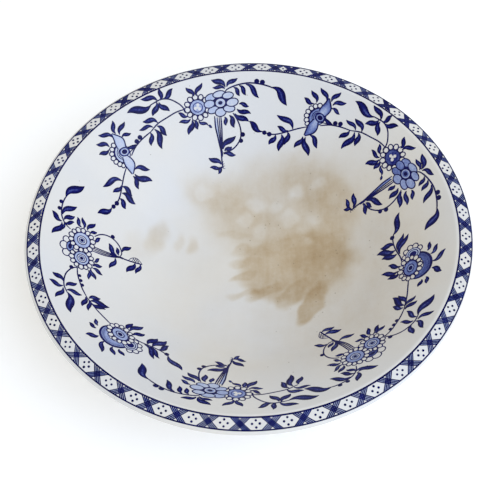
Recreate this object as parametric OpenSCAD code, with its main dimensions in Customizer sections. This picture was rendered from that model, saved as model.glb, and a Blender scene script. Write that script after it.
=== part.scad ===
// Round open serving bowl with printed decoration under a clear glaze.
// A biscuit body and its foot ring are turned about the Z axis. One rim band print and five
// spray prints lie on the biscuit, and a glaze coat covers all but the foot's resting face.
// The origin is the centre of the resting face, and +Z points up.

/* [Bowl] */
// Diameter over the lip, in mm
bowl_d = 254; // [240:1:270]
// Height from the floor inside to the crest of the wall, in mm
bowl_depth = 48; // [45:0.5:51]
// Slope of the wall from the horizontal, in degrees
wall_slope = 35.6; // [34:0.2:37]
// Radius of the curve that joins the wall to the floor, in mm
well_r = 87; // [80:1:92]
// Thickness of the wall and floor with their glaze, in mm
wall_t = 4.5; // [4:0.1:5]

/* [Rim] */
// Width of the sloping rim band from crest to lip, in mm
rim_w = 9; // [8.5:0.1:10]
// Fall of the rim band towards the lip, in degrees
rim_slope = 11.4; // [9:0.2:13]
// Thickness of the lip, in mm
lip_t = 4.8; // [4.4:0.1:5.2]
// Rounding of the lip's two edges, in mm
lip_round = 1.6; // [1.2:0.1:2]
// Rounding of the crest, and of the hollow under it, in mm
crest_round = 4; // [3:0.5:5]

/* [Foot ring] */
// Outside diameter of the foot ring where it meets the body, in mm
foot_d = 106; // [103:1:109]
// Width of the foot ring where it meets the body, in mm
foot_w = 7; // [6.5:0.5:7.5]
// Inward lean of each side of the foot ring, in mm
foot_lean = 0.8; // [0.4:0.1:1]
// Height of the floor's underside above the table, in mm
foot_gap = 4.5; // [4:0.1:5]
// Rounding of the foot ring's lower edges, in mm
foot_round = 1.3; // [1:0.1:1.5]

/* [Glaze and prints] */
// Thickness of the glaze coat, in mm
glaze_t = 0.3; // [0.25:0.05:0.4]
// Thickness of the printed colour under the glaze, in mm
print_t = 0.12; // [0.08:0.01:0.15]
// Height above the table where the glaze on the foot ring ends, in mm
bare_h = 1.6; // [1.4:0.1:2.4]
// Width left unprinted at the crest and at the lip, in mm
print_margin = 0.7; // [0.5:0.1:1]

/* [Hidden] */
$fn = 120;
// Each spray print: its name, the azimuth where it starts and the angle that it covers, in degrees
sprays = [
    ["spray_right_print", 6, 74.5],
    ["spray_far_print", 81.5, 78.5],
    ["spray_left_print", 161, 76],
    ["spray_near_left_print", 238, 47.5],
    ["spray_near_right_print", 286.5, 78.5],
];

// Distances from the axis between which the sprays lie
spray_inner_x = 62;
spray_outer_x = 116;
// Steps that draw a small rounding and the long curve of the well
edge_steps = 6;
well_steps = 20;
// How far a cutting shape runs past what it cuts
past = 1;

lip_x = bowl_d / 2;
crest_x = lip_x - rim_w * cos(rim_slope);
floor_z = foot_gap + wall_t;
crest_z = floor_z + bowl_depth;
lip_z = crest_z - rim_w * sin(rim_slope);
lip_under_z = lip_z - lip_t;
floor_x = crest_x - bowl_depth / tan(wall_slope);

// The outside of the wall meets the underside of the floor, and the underside of the rim, at these corners
wall_under_z = crest_z - wall_t / cos(wall_slope);
under_x = crest_x - (wall_under_z - foot_gap) / tan(wall_slope);
rim_under_z = lip_under_z + (lip_x - crest_x) * tan(rim_slope);
hollow_drop = (wall_under_z - rim_under_z) / (tan(wall_slope) + tan(rim_slope));
hollow_x = crest_x - hollow_drop;
hollow_z = rim_under_z + hollow_drop * tan(rim_slope);

// An outline is a list of corners [x, z, rounding, steps], with the material on the right hand
// as the list is followed. Its first and last corners only set the direction at the two ends.
top_corners = [
    [-past, floor_z, 0, 0],
    [0, floor_z, 0, 0],
    [floor_x, floor_z, well_r, well_steps],
    [crest_x, crest_z, crest_round, edge_steps],
    [lip_x, lip_z, lip_round, edge_steps],
    [lip_x, lip_under_z, lip_round, edge_steps],
];
under_corners = [
    [lip_x, lip_z, lip_round, edge_steps],
    [lip_x, lip_under_z, lip_round, edge_steps],
    [hollow_x, hollow_z, crest_round, edge_steps],
    [under_x, foot_gap, well_r + wall_t, well_steps],
    [0, foot_gap, 0, 0],
    [-past, foot_gap, 0, 0],
];

// The foot ring reaches up into the wall's thickness, and its bottom is set low by one glaze coat
foot_top_z = floor_z + wall_t / 2;
foot_in_x = foot_d / 2 - foot_w;
foot_corners = [
    [foot_in_x + foot_lean, -glaze_t, foot_round, edge_steps],
    [foot_in_x, foot_top_z, 0, 0],
    [foot_d / 2, foot_top_z, 0, 0],
    [foot_d / 2 - foot_lean, -glaze_t, foot_round, edge_steps],
    [foot_in_x + foot_lean, -glaze_t, foot_round, edge_steps],
    [foot_in_x, foot_top_z, 0, 0],
];

function heading(a, b) = let (v = [b[0] - a[0], b[1] - a[1]]) v / norm(v);
function right_of(d) = [d[1], -d[0]];
function bend_of(d, e) = sign(d[0] * e[1] - d[1] * e[0]);
function turned(v, a) = [v[0] * cos(a) - v[1] * sin(a), v[0] * sin(a) + v[1] * cos(a)];
function backwards(list) = [for (i = [len(list) - 1:-1:0]) list[i]];

// One corner moved into the material by depth, as the points of the arc that rounds it.
// The sides keep their slopes, and the arc keeps its centre.
function corner(before, c, after, depth) =
    let (d = heading(before, c), e = heading(c, after))
    let (n = right_of(d), m = right_of(e), bend = bend_of(d, e))
    let (tip = [c[0], c[1]] + depth * (n + m) / (1 + n * m))
    let (r = c[2] + depth * bend, half = acos(min(1, d * e)) / 2)
    let (start = tip - r * tan(half) * d, centre = start - bend * r * n)
    c[3] == 0
        ? [tip]
        : [for (k = [0:c[3]]) centre + turned(start - centre, 2 * bend * half * k / c[3])];

// The points of a whole outline at one depth in the material
function outline(corners, depth) =
    [for (i = [1:len(corners) - 2]) each corner(corners[i - 1], corners[i], corners[i + 1], depth)];

module body_section(depth) {
    polygon(concat(outline(top_corners, depth), outline(under_corners, depth)));
}

module foot_section(depth) {
    polygon(outline(foot_corners, depth));
}

// The layer of the upper side that lies between two depths and between two distances from the axis
module top_layer(shallow, deep, from_x, to_x) {
    upper = concat(outline(top_corners, shallow), [[lip_x - shallow, lip_z - lip_round - past]]);
    lower = concat(outline(top_corners, deep), [[lip_x - deep, lip_z - lip_round - past]]);
    intersection() {
        polygon(concat(upper, backwards(lower)));
        translate([from_x, 0])
            square([to_x - from_x, crest_z + past]);
    }
}

// One spray's share of the upper side, from the biscuit's surface up to the top of its colour
module spray(i, deep) {
    rotate([0, 0, sprays[i][1]])
        rotate_extrude(angle = sprays[i][2])
            top_layer(glaze_t - print_t, deep, spray_inner_x, spray_outer_x);
}

module rim_band_section(deep) {
    top_layer(glaze_t - print_t, deep, crest_x + print_margin, lip_x - print_margin);
}

module bowl_body() {
    color("ivory")
        rotate_extrude()
            body_section(glaze_t);
}

module foot_ring() {
    color("wheat")
        rotate_extrude()
            difference() {
                foot_section(glaze_t);
                body_section(glaze_t);
            }
}

module glaze_coat() {
    color("aliceblue")
        difference() {
            rotate_extrude()
                difference() {
                    union() {
                        body_section(0);
                        foot_section(0);
                    }
                    body_section(glaze_t);
                    foot_section(glaze_t);
                    rim_band_section(glaze_t + past);
                    translate([0, -past])
                        square([lip_x, bare_h + past]);
                }
            for (i = [0:len(sprays) - 1])
                spray(i, glaze_t + past);
        }
}

module rim_band_print() {
    color("midnightblue")
        rotate_extrude()
            rim_band_section(glaze_t);
}

module spray_print(i) {
    color("royalblue")
        spray(i, glaze_t);
}

bowl_body();
foot_ring();
glaze_coat();
rim_band_print();
for (i = [0:len(sprays) - 1])
    spray_print(i);
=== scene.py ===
"""Round serving bowl with blue prints under a clear glaze.

The bowl is turned from one outline. The prints are drawn flat, in millimetres, as an engraver's
sheet would be, and are then laid on the cone of the wall and on the rim band as thin tiles of ink.
"""

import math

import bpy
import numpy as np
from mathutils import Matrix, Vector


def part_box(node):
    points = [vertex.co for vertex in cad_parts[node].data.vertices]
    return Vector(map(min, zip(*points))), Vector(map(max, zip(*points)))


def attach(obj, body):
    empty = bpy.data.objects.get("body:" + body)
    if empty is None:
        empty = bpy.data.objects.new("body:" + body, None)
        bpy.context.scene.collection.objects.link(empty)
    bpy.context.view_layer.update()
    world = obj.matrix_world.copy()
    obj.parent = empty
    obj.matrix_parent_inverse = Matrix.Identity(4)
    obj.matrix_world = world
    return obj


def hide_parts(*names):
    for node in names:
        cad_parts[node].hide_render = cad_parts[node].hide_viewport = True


bl_info = {
    "name": "Printed Serving Bowl",
    "version": (1, 0, 0),
    "blender": (4, 5, 0),
    "location": "3D View > Sidebar > Bowl",
    "description": "Builds a glazed serving bowl with printed sprays and a printed rim band",
    "category": "Add Mesh",
}

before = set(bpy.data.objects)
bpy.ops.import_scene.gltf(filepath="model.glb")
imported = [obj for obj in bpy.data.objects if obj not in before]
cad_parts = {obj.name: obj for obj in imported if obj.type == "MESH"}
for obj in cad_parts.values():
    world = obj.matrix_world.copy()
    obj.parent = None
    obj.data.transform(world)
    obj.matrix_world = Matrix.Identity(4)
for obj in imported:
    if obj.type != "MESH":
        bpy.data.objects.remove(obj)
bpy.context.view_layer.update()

MM = 0.001
BODY = "root"
GLAZE_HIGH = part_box("glaze_coat")[1]
# Roundings of the crest and of the lip's edges
CREST_ROUND = 4 * MM
LIP_ROUND = 1.6 * MM
# Radius of the wall's cone where the flat sheets are rolled on without stretching
CONE_RADIUS = 101.1 * MM
# Depth of the ripple in the glaze
RIPPLE_DEPTH = 0.06 * MM
# The rim band's flat sheet, in millimetres: from one lozenge to the next, and half the bars' height
BAND_PITCH = 16.46
BAND_REACH = 3.5
# How far under the upper side the stain still counts
STAIN_DEPTH = 2 * MM

# ---------------------------------------------------------------------------
# Artwork. Every place and size on the flat sheets is in millimetres: u runs clockwise round
# the bowl, v runs up the wall towards the rim, and each sheet's zero is the middle of a daisy.
# ---------------------------------------------------------------------------

# Leaves: base u, base v, tip u, tip v, width, bow. Bow is the sideways bend as a share of the
# length, and is positive to the left of the way from base to tip.
FLOWER_LEAVES = [
    # over the daisy
    (-1, 7.5, -4.5, 14, 2.8, -0.08),
    (0.5, 7.5, 6, 14.5, 2.6, 0.08),
    # the daisy's inner side
    (-7.5, -3.5, -13, 0, 2.4, 0.1),
    (-6.5, -5.5, -14, -6, 2.4, 0.08),
    (-5.8, -6.5, -10.2, -14.8, 3.4, 0.06),
    (-4.6, -7, -3.8, -13, 2.6, 0.06),
    (-2, -8, 3, -11.5, 2, -0.08),
    (3, -12, 5, -14, 1.4, 0),
    # fan on the rim side
    (-20, 10.6, -12.4, 15.5, 3.2, -0.08),
    (-21.8, 10.2, -20.3, 17.4, 2.8, -0.08),
    (-23.4, 10.2, -33.4, 13.5, 3.2, -0.12),
    (-28, 8.6, -43.7, 7.2, 5, 0.04),
    (-24.2, 9.6, -28.8, 1.8, 3.4, 0.08),
    (-22.8, 9.2, -17.8, 2.3, 3.4, -0.08),
    # inner group on the long stem
    (-26.8, -3, -35.8, -0.3, 3.2, -0.14),
    (-30.4, -5, -39.3, -4.8, 2.4, -0.1),
    (-27.8, -4.8, -23.4, -12, 3.2, 0.08),
    (-29.9, -6.3, -28.4, -19.3, 3.8, 0.08),
    (-32.9, -7.8, -34.4, -15.8, 3, 0.06),
    # over the oval flower
    (19, 8.2, 11.8, 14.8, 3.6, -0.14),
    (18.6, 7.3, 11.4, 10, 2.4, -0.1),
    (20, 8.2, 27.8, 11.8, 2.8, 0.1),
    # under the rim side stem
    (24, 6.9, 26.2, 0.7, 2.5, 0.08),
    (27.5, 7.1, 30, 0.1, 2.6, 0.08),
    (31.6, 6.8, 37.2, -3.6, 3.2, 0.08),
    (46.3, 0.8, 52.4, -12.8, 4.8, 0.12),
    # the oval flower's far side
    (24.5, -4, 30, -7.1, 2.6, 0.06),
    (22.5, -6.6, 30, -11.7, 3, -0.05),
    (20.5, -9, 27.5, -16.2, 3.6, -0.05),
    (17, -9.3, 18, -17.6, 3.2, 0.06),
    (14, -9.5, 13.5, -15, 2.4, 0.04),
    # the foot of the stem bundle
    (8, -28.8, 17.5, -22.8, 3.6, 0.1),
    (8.5, -30.1, 13.5, -28.6, 2.6, 0),
    (7.5, -31.8, 14.5, -34.3, 2.8, 0.06),
    (4.5, -37.8, -2, -31.8, 3.2, -0.06),
    (4, -39.3, -2.8, -37.8, 2.4, 0.06),
    (5, -39.3, 1.2, -43, 2.2, -0.05),
]
BIRD_LEAVES = [
    # over the upper wing
    (-54.1, -3.6, -54, 4.6, 2.8, 0.08),
    (-51.9, -4.7, -46.7, 2.4, 2.8, 0.1),
    (-51, -6.5, -44.7, -5.4, 2.2, 0.08),
    (-56.6, -5.4, -65.2, -2.3, 2.8, -0.1),
    # by the half daisy
    (-60.4, -10.6, -68.1, -7.5, 2.8, -0.12),
    (-61.2, -12.1, -68.1, -13.8, 2.7, 0.1),
    # under the lower wing
    (-48.8, -27.5, -39.4, -29.9, 3.1, 0.12),
    (-49.5, -30.2, -39.8, -37, 4, -0.08),
    (-51, -31.2, -49.8, -39.8, 3, 0.06),
    # the stem's rim side
    (-58.7, -32.5, -72, -33.4, 3.6, -0.14),
    (-60, -35, -66.8, -38, 2.8, 0.1),
    # the stem's inner side
    (-59.8, -35.9, -55.3, -42.9, 3.2, 0.1),
    (-61.3, -39.7, -54.8, -48.2, 3.8, 0.06),
    (-63.6, -42.6, -62.1, -49.7, 3.2, 0.06),
    (-70.9, -47.2, -81.2, -48.3, 3.8, 0.06),
]
TWIN_LEAVES = [
    # right of the large daisy
    (9, 1.5, 15, 4.9, 2.4, 0.1),
    (8.8, 0.2, 16, 2, 2.2, -0.1),
    (8.5, -2.4, 15, -7, 2.8, 0.08),
    (7, -4.5, 9.5, -8.6, 2.2, 0.05),
    (2.5, -7.3, 6.3, -11.3, 2.4, -0.05),
    # under the small daisy
    (-20, -5.3, -27, -6, 2.2, 0.08),
    (-18.5, -7, -25.5, -10.4, 2.8, -0.06),
    (-17.5, -8, -20.2, -14.6, 2.6, 0.06),
    (-15.8, -8.2, -13.7, -14, 2.6, 0.06),
    (-12.5, -8.5, -8.6, -12, 2, -0.05),
    # the foot of the stem bundle
    (-1.5, -22.8, 5, -17, 3.4, 0.1),
    (-1, -24.3, 4, -22.2, 2.4, 0),
    (-4, -22, -13, -18.6, 2.8, 0.08),
    (2.3, -26.3, 8, -31.8, 2.8, 0.1),
    (-2.6, -35.2, -11.5, -30, 3.6, 0.04),
    (-2.6, -38.6, -10.5, -36, 2.6, 0.04),
    # start side fan
    (8.3, 14, 13, 21, 3.2, 0.1),
    (7.5, 14, -2.5, 19.3, 3.4, 0.08),
    (7.8, 12.6, 1, 14, 2, 0.04),
    (8, 12.3, 10.6, 6.4, 2.4, -0.06),
    (9.8, 13, 14.6, 6.6, 3.2, 0.06),
    (13, 14.3, 21.6, 6.2, 3.6, 0.12),
    (25.2, 14, 37, 3.9, 5.2, 0.1),
    # rim side fan
    (-38, 9.7, -36.3, 18.2, 3.2, 0.1),
    (-34.5, 9.7, -30.3, 16.5, 3.4, -0.1),
    (-39.5, 9.7, -48.5, 14.2, 2.8, 0.08),
    (-37.6, 8, -33, 1.2, 2.8, 0.06),
    (-40.6, 7.5, -41, -2, 3, 0.05),
    (-42, 7, -57.5, 4.9, 5.2, 0.05),
]
ROSE_LEAVES = [
    # group on the long stem
    (-41.5, -4.2, -49.7, -2, 3, 0.06),
    (-43.5, -6.2, -52, -5.8, 2.4, 0.04),
    (-42, -6.3, -39.5, -13.5, 3.2, 0.08),
    (-43.8, -7, -44.5, -19, 4, 0.05),
    (-45.2, -7.8, -47.3, -16.5, 3.2, -0.06),
    # over the large flower
    (-71.2, -11, -72.2, -3.4, 3.6, 0.04),
    (-65, -10, -61.5, -6, 2.6, 0.08),
    (-62.5, -11.2, -57.3, -9.6, 2.4, 0.06),
    (-75, -14.2, -85, -11.8, 3, -0.1),
    (-78.5, -18.8, -85.8, -19.2, 2.6, -0.12),
    (-79.5, -22.4, -85, -24.8, 2.4, -0.08),
    # under it
    (-60.5, -29.3, -53.4, -33.2, 2.8, 0.14),
    (-60.8, -30.8, -54.3, -39.7, 3.4, 0.08),
    (-64, -32.2, -61, -40, 3.2, 0.04),
    # the stem's end
    (-70.7, -38.4, -83.8, -42.3, 3.4, 0.12),
    (-72.2, -41.8, -82.8, -45.7, 2.6, 0.06),
    (-70, -40.4, -62.9, -47.6, 4, 0.04),
    (-71.6, -43.2, -63.9, -53, 4.4, 0.02),
    (-73.9, -46.3, -68.4, -53.8, 3.6, -0.06),
    (-79, -51.6, -93, -57.4, 4, -0.04),
]

# Lines: width, then the points that a smooth curve passes through.
FLOWER_STEMS = [
    (0.85, [(-8, -1.5), (-9.7, 3.4), (-12.9, 7.1), (-16.4, 9.6), (-20.8, 10.6), (-24.2, 9.9), (-28.6, 8.6)]),
    (0.85, [(-8, 1.2), (-14, 0.7), (-20.3, -1.2), (-26.9, -3.5), (-32.4, -7.3)]),
    (0.95, [(18, 5.2), (19.8, 6.7), (24.2, 7.6), (29.2, 7.7), (34.2, 7), (39.6, 4.9), (44.5, 2.1),
            (48.2, -0.8)]),
    (0.85, [(19.5, -8.5), (21, -13.4), (21.5, -18.6), (20.5, -23.8), (17.5, -27.8), (13, -30.5),
            (7.5, -31.1)]),
    (0.9, [(8.2, -7.5), (7, -14.5), (6.8, -20), (6.4, -28.3)]),
    (0.7, [(9.5, -8.5), (8.4, -16), (6.8, -28.8)]),
    (0.7, [(10.7, -8.8), (9.4, -16), (7.2, -28.8)]),
    (0.85, [(11.8, -8.8), (10.5, -16), (7.6, -28.8)]),
    (1.5, [(6.8, -28), (6.6, -30.8), (6, -33.3)]),
    (0.9, [(6.2, -31.8), (5.4, -35.8), (5, -40.3)]),
    (0.4, [(1.5, -10.5), (3.6, -12.8)]),
    (0.4, [(5.4, -37), (6.2, -36.2)]),
    (0.4, [(5.3, -38.2), (6.4, -37.6)]),
    (0.4, [(5.2, -39.4), (6.4, -39)]),
    (0.4, [(4.9, -40.6), (6.2, -40.8)]),
]
BIRD_STEMS = [
    (0.85, [(-32.4, -7.3), (-38, -10), (-42.5, -12.8), (-45.5, -15.4), (-48.3, -18.8)]),
    (0.6, [(-43.2, -12.9), (-46.5, -12.9), (-50.5, -13.6)]),
    (0.6, [(-43.8, -13.6), (-46.5, -15.2), (-50, -17.4)]),
    (0.85, [(-53.5, -25), (-56.5, -29.5), (-59.2, -34.4), (-61.8, -39.2), (-64.5, -43),
            (-67.5, -45.4), (-71.5, -47.3)]),
]
TWIN_STEMS = [
    (0.85, [(5, 8.2), (6.3, 10.5), (8.5, 12.8), (12, 14.7), (16, 15.4), (20, 15.4), (24, 14.6),
            (27, 13.4)]),
    (0.85, [(6, -7.4), (8.6, -10.5), (9.8, -14), (9.6, -18), (8, -21.5), (5, -24.5), (1, -26),
            (-1.5, -25.2)]),
    (0.85, [(-20.7, 0.5), (-21.6, 3.5), (-24, 6), (-28, 8.3), (-33, 9.3), (-38, 9), (-42.5, 7)]),
    (0.85, [(-20.7, 1.6), (-26, 1.1), (-31, -0.4), (-36, -2.2), (-41.5, -5)]),
    (0.75, [(-4.8, -7), (-5, -14), (-4.3, -19), (-2.7, -24.5)]),
    (0.7, [(-3.7, -7.2), (-4, -14), (-3.5, -19), (-2.5, -24.5)]),
    (0.7, [(-2.6, -7.3), (-2.9, -14), (-2.7, -19), (-2.3, -24.5)]),
    (0.75, [(-1.5, -7.4), (-1.9, -14), (-1.9, -19), (-2, -24.5)]),
    (1.4, [(-2.2, -23.5), (-2.2, -25.5), (-2.3, -27.5)]),
    (0.95, [(-2.3, -26), (-2.4, -31), (-2.3, -36), (-2.2, -39.8)]),
    (0.45, [(-1.8, -31), (0.4, -33), (1.2, -36.2), (-1.8, -39.6)]),
    (0.35, [(-2, -33), (0.6, -34.2)]),
    (0.35, [(-2, -34.2), (1, -35.5)]),
    (0.35, [(-2, -35.4), (1.1, -36.8)]),
    (0.35, [(-2, -36.6), (0.4, -37.8)]),
    (0.35, [(0.6, -33.4), (-2, -36)]),
    (0.35, [(1.1, -35), (-2, -38)]),
]
ROSE_STEMS = [
    (0.85, [(-41.5, -5), (-45, -7.6), (-50, -11.5), (-55, -16), (-59, -19.6)]),
    (0.85, [(-66.8, -33), (-69.2, -36.7), (-70.8, -40.6), (-73, -45.2), (-76.2, -49.4), (-79.8, -51.7)]),
]

# Berries and beads: u, v, radius.
FLOWER_BERRIES = [(38.6, 6.8, 1.6), (41.8, 5.3, 1.6), (21.8, -23, 1.5), (19.8, -26.5, 1.4)]
BIRD_BERRIES = [(-40, -9.1, 1.5), (-42.6, -11.1, 1.5), (-66.6, -45, 1.5), (-69.4, -46.5, 1.4)]
TWIN_BERRIES = [
    (16.5, 16.8, 1.3), (21.3, 16.4, 1.3), (10.5, -19, 1.4), (-22, 5.2, 1.4),
    (-26.4, -0.2, 1.1), (-29.8, -1, 1.2), (-33, -2, 1.2),
]
ROSE_BERRIES = [(-77.4, -51, 1.5)]


# ---------------------------------------------------------------------------
# Sizes and colours
# ---------------------------------------------------------------------------

def paint(red, green, blue):
    """A colour given as screen values from 0 to 255, turned to the linear values that shaders use."""
    shown = np.array([red, green, blue]) / 255
    linear = np.where(shown <= 0.04045, shown / 12.92, ((shown + 0.055) / 1.055) ** 2.4)
    return tuple(float(x) for x in linear)


def length(name, description, default):
    return bpy.props.FloatProperty(
        name=name, description=description, default=default, unit="LENGTH", precision=5)


def colour(name, description, default):
    return bpy.props.FloatVectorProperty(
        name=name, description=description, default=default, size=3, min=0, max=1, subtype="COLOR")


class BowlShape(bpy.types.PropertyGroup):
    """Sizes of the thrown body"""
    lip_radius: length("Lip radius", "From the axis to the lip", GLAZE_HIGH[0])
    crest_height: length("Crest height", "Corner where wall and rim band meet, before rounding", 57 * MM)
    rim_width: length("Rim width", "Width of the sloping rim band", 9 * MM)
    rim_fall: bpy.props.FloatProperty(
        name="Rim fall", description="Fall of the rim band towards the lip",
        default=math.radians(11.4), subtype="ANGLE", unit="ROTATION")
    wall_slope: bpy.props.FloatProperty(
        name="Wall slope", description="Slope of the wall from the horizontal",
        default=math.radians(35.6), subtype="ANGLE", unit="ROTATION")
    lip_thickness: length("Lip thickness", "Height of the lip's edge", 4.8 * MM)
    wall_thickness: length("Wall thickness", "Thickness of wall and floor with their glaze", 4.5 * MM)
    well_radius: length("Well radius", "Radius of the curve that joins wall and floor", 87 * MM)
    floor_height: length("Floor height", "Floor of the bowl above the table", 9 * MM)
    foot_radius: length("Foot radius", "Outside of the foot ring where it meets the body", 53 * MM)
    foot_width: length("Foot width", "Width of the foot ring where it meets the body", 7 * MM)
    foot_lean: length("Foot lean", "Inward lean of each side of the foot ring", 0.8 * MM)
    glaze_thickness: length("Glaze thickness", "Thickness of the clear glaze", 0.3 * MM)
    bare_height: length("Bare height", "Height on the foot ring where the glaze ends", 1.6 * MM)
    segments: bpy.props.IntProperty(
        name="Segments", description="Steps round the axis", default=360, min=24)


class PrintShape(bpy.types.PropertyGroup):
    """Sizes of the printed ink"""
    ink_lift: length("Ink lift", "Top of the ink above the glaze's mean surface", 0.04 * MM)
    ink_depth: length("Ink depth", "Underside of the ink below that surface", 0.03 * MM)
    layer_step: length("Layer step", "Height from one printed layer to the next", 0.008 * MM)
    lozenges: bpy.props.IntProperty(
        name="Lozenges", description="Full lozenges in the rim band", default=46, min=8)
    lozenge_pitch: bpy.props.FloatProperty(
        name="Lozenge pitch", description="Angle from one lozenge to the next",
        default=math.radians(7.7274), subtype="ANGLE", unit="ROTATION")
    first_lozenge: bpy.props.FloatProperty(
        name="First lozenge", description="Azimuth of the first lozenge, from which the rest go clockwise",
        default=math.radians(72.17), subtype="ANGLE", unit="ROTATION")


class BowlFinish(bpy.types.PropertyGroup):
    """Colours of the ware"""
    glaze: colour("Glaze", "Clean glazed body", paint(224, 221, 216))
    tinge: colour("Glaze tinge", "Blue tinge where the glaze is thick", paint(217, 219, 224))
    stain: colour("Stain", "Old food stain under the glaze", paint(216, 197, 169))
    grime: colour("Grime", "Dirt in pinholes and at the foot", paint(112, 98, 80))
    biscuit: colour("Biscuit", "Unglazed foot", paint(206, 190, 162))
    ink_dark: colour("Dark ink", "Heaviest print", paint(2, 3, 64))
    ink_line: colour("Line ink", "Engraved lines", paint(12, 20, 104))
    ink_wash: colour("Wash ink", "Stippled wash", paint(104, 120, 178))
    ink_pale: colour("Pale ink", "Lightest stipple", paint(176, 188, 218))


# ---------------------------------------------------------------------------
# Surfaces
# ---------------------------------------------------------------------------

def corner_points(before, corner, after):
    """A corner (x, z, radius, steps) as the arc that touches both of its sides.

    The arc starts radius * tan(half the turn) before the corner, and each of its points is the
    centre plus the start's arm turned by an equal share of the whole turn.
    """
    tip = np.array(corner[:2], float)
    radius, steps = corner[2], corner[3]
    if steps == 0:
        return tip[None]
    into = tip - np.array(before[:2], float)
    out = np.array(after[:2], float) - tip
    into /= np.linalg.norm(into)
    out /= np.linalg.norm(out)
    turn = math.atan2(into[0] * out[1] - into[1] * out[0], float(into @ out))
    start = tip - radius * math.tan(abs(turn) / 2) * into
    centre = start + math.copysign(radius, turn) * np.array([-into[1], into[0]])
    angle = turn * np.linspace(0, 1, steps + 1)
    arm = start - centre
    return centre + np.stack([arm[0] * np.cos(angle) - arm[1] * np.sin(angle),
                              arm[0] * np.sin(angle) + arm[1] * np.cos(angle)], 1)


def rounded(corners):
    """A chain of rounded corners. Its first and last corners only set the end directions."""
    return np.concatenate([corner_points(*corners[i - 1:i + 2]) for i in range(1, len(corners) - 1)])


def divided(points, step):
    """The same chain with every side longer than step cut into equal shares."""
    sides = np.linalg.norm(np.diff(points, axis=0), axis=1)
    counts = np.maximum(1, np.ceil(sides / step).astype(int))
    start = np.repeat(points[:-1], counts, axis=0)
    side = np.repeat(np.diff(points, axis=0), counts, axis=0)
    place = np.arange(counts.sum()) - np.repeat(np.cumsum(counts) - counts, counts)
    share = place / np.repeat(counts, counts)
    return np.concatenate([start + side * share[:, None], points[-1:]])


def rim_corners(shape):
    """Crest and lip corners of the upper side, in metres, as (x, z)."""
    crest = (shape.lip_radius - shape.rim_width * math.cos(shape.rim_fall), shape.crest_height)
    lip = (shape.lip_radius, shape.crest_height - shape.rim_width * math.sin(shape.rim_fall))
    return crest, lip


def upper_corners(shape, fine):
    """Upper side from the axis to the lip's lower edge, its roundings in fine times the base steps."""
    crest, lip = rim_corners(shape)
    floor_x = crest[0] - (crest[1] - shape.floor_height) / math.tan(shape.wall_slope)
    return [
        (-1, shape.floor_height, 0, 0),
        (0, shape.floor_height, 0, 0),
        (floor_x, shape.floor_height, shape.well_radius, 36 * fine),
        (crest[0], crest[1], CREST_ROUND, 12 * fine),
        (lip[0], lip[1], LIP_ROUND, 7 * fine),
        (lip[0], lip[1] - shape.lip_thickness, LIP_ROUND, 7 * fine),
    ]


def foot_sides(shape):
    """The foot ring's sides at a height z as two lines: inner and outer x, each leaning inwards."""
    top = shape.floor_height + shape.wall_thickness / 2
    share = lambda z: shape.foot_lean * (top - z) / (top + shape.glaze_thickness)
    inner = lambda z: shape.foot_radius - shape.foot_width + share(z)
    outer = lambda z: shape.foot_radius - share(z)
    return inner, outer


def body_outline(shape):
    """Outline of the glazed body: upper side, lip, underside, and the foot down to its bare edge."""
    crest, lip = rim_corners(shape)
    slope, fall = math.tan(shape.wall_slope), math.tan(shape.rim_fall)
    under_z = shape.floor_height - shape.wall_thickness
    lip_under = lip[1] - shape.lip_thickness
    wall_under = crest[1] - shape.wall_thickness / math.cos(shape.wall_slope)
    under_x = crest[0] - (wall_under - under_z) / slope
    rim_under = lip_under + (lip[0] - crest[0]) * fall
    drop = (wall_under - rim_under) / (slope + fall)
    inner, outer = foot_sides(shape)
    bare = shape.bare_height
    # where the wall's underside curve passes the foot's outer side
    radius = shape.well_radius + shape.wall_thickness
    tangent_x = under_x - radius * math.tan(shape.wall_slope / 2)
    meet_z = under_z + radius - math.sqrt(radius ** 2 - (shape.foot_radius - tangent_x) ** 2)
    rise = math.asin((shape.foot_radius - tangent_x) / radius)
    beyond = 6 * MM
    upper = upper_corners(shape, 1)
    lower = [
        upper[-2], upper[-1],
        (crest[0] - drop, rim_under + drop * fall, CREST_ROUND, 8),
    ]
    top = rounded(upper)
    under = rounded(lower + [(under_x, under_z, 0, 0)])
    # the well's outer curve, from the wall's tangent point down to the foot
    angle = np.linspace(shape.wall_slope, rise + 2 * MM / radius, 14)
    curve = np.stack([tangent_x + radius * np.sin(angle), under_z + radius * (1 - np.cos(angle))], 1)
    foot = rounded([
        tuple(curve[-1]) + (0, 0),
        (outer(meet_z), meet_z, 1.6 * MM, 6),
        (outer(bare), bare, 0.25 * MM, 4),
        (inner(bare), bare, 0.25 * MM, 4),
        (inner(under_z), under_z, 1.2 * MM, 6),
        (0, under_z, 0, 0),
        (-beyond, under_z, 0, 0),
    ])
    return np.concatenate([
        divided(top, 0.9 * MM)[:-1], divided(np.concatenate([top[-1:], under, curve[:1]]), 2.6 * MM)[:-1],
        curve[:-1], divided(np.concatenate([curve[-1:], foot]), 2.8 * MM)])


def new_piece(name, points, faces, finish, nodes, flat_angle=None):
    """An object from points and faces, smooth but for edges sharper than flat_angle."""
    mesh = bpy.data.meshes.new(name)
    mesh.from_pydata(points, [], faces)
    mesh.validate()
    mesh.polygons.foreach_set("use_smooth", np.ones(len(mesh.polygons), bool))
    if flat_angle is not None:
        mesh.set_sharp_from_angle(angle=flat_angle)
    piece = bpy.data.objects.new(name, mesh)
    bpy.context.scene.collection.objects.link(piece)
    mesh.materials.append(finish)
    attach(piece, BODY)
    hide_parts(*nodes)
    return piece


def set_values(piece, name, values):
    """A number for each point of the piece, for its material to read."""
    piece.data.attributes.new(name, "FLOAT", "POINT").data.foreach_set(
        "value", np.asarray(values, np.float32))


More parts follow.
